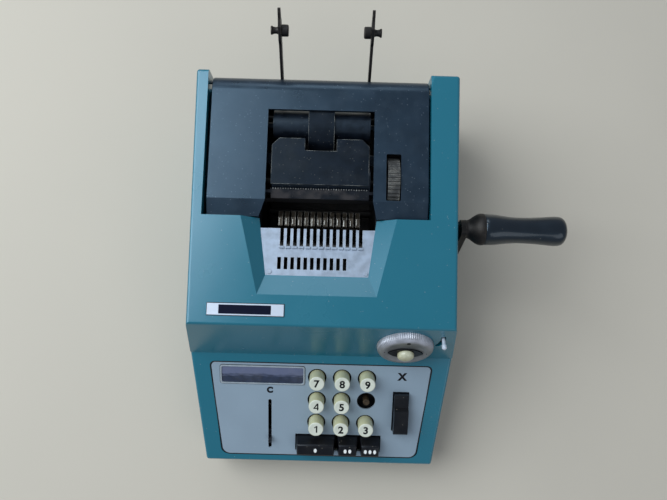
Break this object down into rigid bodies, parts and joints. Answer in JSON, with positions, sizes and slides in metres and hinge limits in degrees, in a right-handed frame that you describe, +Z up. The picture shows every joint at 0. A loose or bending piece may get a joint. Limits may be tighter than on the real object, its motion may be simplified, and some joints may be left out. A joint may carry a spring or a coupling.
{
  "type": "mechanical calculator",
  "caption": "Hand-cranked printing adding machine with a stepped case, a sloping ten-key board, a hinged platen cover and folding paper-roll arms.",
  "frame": {"origin": "middle of the whole machine's footprint, on the table", "axes": "+X to the crank side, +Y to the rear, +Z up; the board is at -Y"},
  "size_m": [0.2798, 0.324, 0.1385],
  "materials": {
    "teal": "gloss",
    "black_cover": "gloss",
    "panel_grey": "satin",
    "plate_pale": "satin",
    "steel": "satin",
    "dark_steel": "satin",
    "chrome": "polished",
    "key_cream": "gloss",
    "key_black": "gloss",
    "grip_black": "gloss",
    "rubber": "matte",
    "ribbon_black": "matte",
    "lens": "gloss",
    "dial_silver": "satin",
    "nylon": "matte",
    "pointer_white": "satin"
  },
  "bodies": {
    "frame": {"badge_plate": "chrome", "base_pan": "dark_steel", "body_shell": "teal", "carriage_rails": "steel", "cover_hinge_pins": "steel", "frame_rods": "steel", "key_guide_plate": "steel", "key_springs": "steel", "keyboard_panel": "panel_grey", "paper_table": "key_black", "paper_tongue": "dark_steel", "return_spring": "steel", "ribbon": "ribbon_black", "ribbon_deck": "dark_steel", "rubber_feet": "rubber", "screws": "steel", "selector_dial": "dial_silver", "shaft_bushing": "steel", "side_frames": "dark_steel", "tear_bar": "dark_steel", "type_plate": "plate_pale", "window_bezel": "panel_grey", "window_lens": "lens"},
    "crank": {"crank_shaft": "steel", "crank_arm": "dark_steel", "grip_spindle": "steel", "drive_gear": "steel"},
    "grip": {"handle_grip": "grip_black"},
    "register": {"register_shaft": "steel", "register_wheels": "nylon"},
    "type": {"type_bars": "steel"},
    "platen_roll": {"platen": "rubber", "platen_shaft": "steel", "thumbwheel": "key_black"},
    "guide_roll": {"paper_roller": "rubber"},
    "cover": {"platen_cover": "black_cover"},
    "arms": {"paper_arms": "dark_steel"},
    "spindle_left": {"roll_spindle_left": "dark_steel"},
    "spindle_right": {"roll_spindle_right": "dark_steel"},
    "spool_left": {"ribbon_spool_left": "dark_steel"},
    "spool_right": {"ribbon_spool_right": "dark_steel"},
    "multiply": {"multiply_bar": "key_black"},
    "clear": {"clear_lever": "dark_steel"},
    "selector": {"selector_knob": "key_cream", "selector_disc": "key_black"},
    "finger": {"side_lever": "chrome"},
    "carriage": {"pin_carriage": "steel", "column_pointer": "pointer_white"},
    "press_key_1": {"key_1": "key_cream"},
    "press_key_2": {"key_2": "key_cream"},
    "press_key_3": {"key_3": "key_cream"},
    "press_key_4": {"key_4": "key_cream"},
    "press_key_5": {"key_5": "key_cream"},
    "press_key_7": {"key_7": "key_cream"},
    "press_key_8": {"key_8": "key_cream"},
    "press_key_9": {"key_9": "key_cream"},
    "press_key_stem_6": {"key_stem_6": "dark_steel"},
    "press_key_zero": {"key_zero": "key_black"},
    "press_key_double_zero": {"key_double_zero": "key_black"},
    "press_key_triple_zero": {"key_triple_zero": "key_black"}
  },
  "joints": [
    {"name": "crank_pull", "type": "hinge", "parent": "frame", "child": "crank", "pos_m": [0.06164, 0.00924, 0.044], "axis": [1, 0, 0], "range_deg": [0, 85], "stiffness_Nm_per_rad": 0.25, "springref_deg": -11.46},
    {"name": "grip_spin", "type": "hinge", "parent": "crank", "child": "grip", "pos_m": [0.09164, 0.01954, 0.088], "axis": [1, 0, 0], "continuous": true},
    {"name": "register_turn", "type": "hinge", "parent": "frame", "child": "register", "pos_m": [-0.0389, -0.01976, 0.03632], "axis": [1, 0, 0], "range_deg": [-170, 0]},
    {"name": "type_swing", "type": "hinge", "parent": "frame", "child": "type", "pos_m": [-0.0389, 0.02224, 0.04], "axis": [-1, 0, 0], "range_deg": [0, 8.5]},
    {"name": "platen_turn", "type": "hinge", "parent": "frame", "child": "platen_roll", "pos_m": [-0.0389, 0.05064, 0.093], "axis": [1, 0, 0], "continuous": true},
    {"name": "guide_roller_turn", "type": "hinge", "parent": "frame", "child": "guide_roll", "pos_m": [-0.0389, 0.09294, 0.093], "axis": [1, 0, 0], "continuous": true},
    {"name": "cover_open", "type": "hinge", "parent": "frame", "child": "cover", "pos_m": [-0.0389, 0.12274, 0.1006], "axis": [-1, 0, 0], "range_deg": [0, 65]},
    {"name": "arms_fold", "type": "hinge", "parent": "frame", "child": "arms", "pos_m": [-0.0389, 0.11774, 0.078], "axis": [-1, 0, 0], "range_deg": [0, 50]},
    {"name": "roll_turn_left", "type": "hinge", "parent": "arms", "child": "spindle_left", "pos_m": [-0.0739, 0.15195, 0.12509], "axis": [1, 0, 0], "continuous": true},
    {"name": "roll_turn_right", "type": "hinge", "parent": "arms", "child": "spindle_right", "pos_m": [-0.0083, 0.15195, 0.12509], "axis": [1, 0, 0], "continuous": true},
    {"name": "spool_turn_left", "type": "hinge", "parent": "frame", "child": "spool_left", "pos_m": [-0.1074, 0.01424, 0.085], "axis": [0, 0, 1], "continuous": true},
    {"name": "spool_turn_right", "type": "hinge", "parent": "frame", "child": "spool_right", "pos_m": [0.0196, 0.01424, 0.085], "axis": [0, 0, 1], "continuous": true},
    {"name": "key_1_press", "type": "slide", "parent": "frame", "child": "press_key_1", "axis": [0, 0.3688, -0.9295], "range_m": [0, 0.004], "stiffness_N_per_m": 250, "springref_m": -0.001},
    {"name": "key_2_press", "type": "slide", "parent": "frame", "child": "press_key_2", "axis": [0, 0.3688, -0.9295], "range_m": [0, 0.004], "stiffness_N_per_m": 250, "springref_m": -0.001},
    {"name": "key_3_press", "type": "slide", "parent": "frame", "child": "press_key_3", "axis": [0, 0.3688, -0.9295], "range_m": [0, 0.004], "stiffness_N_per_m": 250, "springref_m": -0.001},
    {"name": "key_4_press", "type": "slide", "parent": "frame", "child": "press_key_4", "axis": [0, 0.3688, -0.9295], "range_m": [0, 0.004], "stiffness_N_per_m": 250, "springref_m": -0.001},
    {"name": "key_5_press", "type": "slide", "parent": "frame", "child": "press_key_5", "axis": [0, 0.3688, -0.9295], "range_m": [0, 0.004], "stiffness_N_per_m": 250, "springref_m": -0.001},
    {"name": "key_7_press", "type": "slide", "parent": "frame", "child": "press_key_7", "axis": [0, 0.3688, -0.9295], "range_m": [0, 0.004], "stiffness_N_per_m": 250, "springref_m": -0.001},
    {"name": "key_8_press", "type": "slide", "parent": "frame", "child": "press_key_8", "axis": [0, 0.3688, -0.9295], "range_m": [0, 0.004], "stiffness_N_per_m": 250, "springref_m": -0.001},
    {"name": "key_9_press", "type": "slide", "parent": "frame", "child": "press_key_9", "axis": [0, 0.3688, -0.9295], "range_m": [0, 0.004], "stiffness_N_per_m": 250, "springref_m": -0.001},
    {"name": "key_stem_6_press", "type": "slide", "parent": "frame", "child": "press_key_stem_6", "axis": [0, 0.3688, -0.9295], "range_m": [0, 0.004], "stiffness_N_per_m": 250, "springref_m": -0.001},
    {"name": "key_zero_press", "type": "slide", "parent": "frame", "child": "press_key_zero", "axis": [0, 0.3688, -0.9295], "range_m": [0, 0.004], "stiffness_N_per_m": 250, "springref_m": -0.001},
    {"name": "key_double_zero_press", "type": "slide", "parent": "frame", "child": "press_key_double_zero", "axis": [0, 0.3688, -0.9295], "range_m": [0, 0.004], "stiffness_N_per_m": 250, "springref_m": -0.001},
    {"name": "key_triple_zero_press", "type": "slide", "parent": "frame", "child": "press_key_triple_zero", "axis": [0, 0.3688, -0.9295], "range_m": [0, 0.004], "stiffness_N_per_m": 250, "springref_m": -0.001},
    {"name": "multiply_rock", "type": "hinge", "parent": "frame", "child": "multiply", "pos_m": [0.023, -0.1135, 0.05096], "axis": [1, 0, 0], "range_deg": [0, 6], "stiffness_Nm_per_rad": 0.2, "springref_deg": -1.15},
    {"name": "clear_slide", "type": "slide", "parent": "frame", "child": "clear", "axis": [0, 0.9295, 0.3688], "range_m": [0, 0.03], "stiffness_N_per_m": 15, "springref_m": -0.004},
    {"name": "selector_turn", "type": "hinge", "parent": "frame", "child": "selector", "pos_m": [0.0217, -0.06698, 0.08856], "axis": [0, -0.8848, 0.466], "range_deg": [-90, 90]},
    {"name": "side_lever_swing", "type": "hinge", "parent": "frame", "child": "finger", "pos_m": [0.0307, -0.05974, 0.09695], "axis": [0, 0.8848, -0.466], "range_deg": [0, 33]},
    {"name": "carriage_step", "type": "slide", "parent": "frame", "child": "carriage", "axis": [-1, 0, 0], "range_m": [0, 0.047]}
  ],
  "couplings": [
    {"joint": "register_turn", "follows": "crank_pull", "ratio": -2},
    {"joint": "type_swing", "follows": "crank_pull", "ratio": 0.099999},
    {"joint": "spool_turn_right", "follows": "spool_turn_left", "ratio": 1}
  ]
}
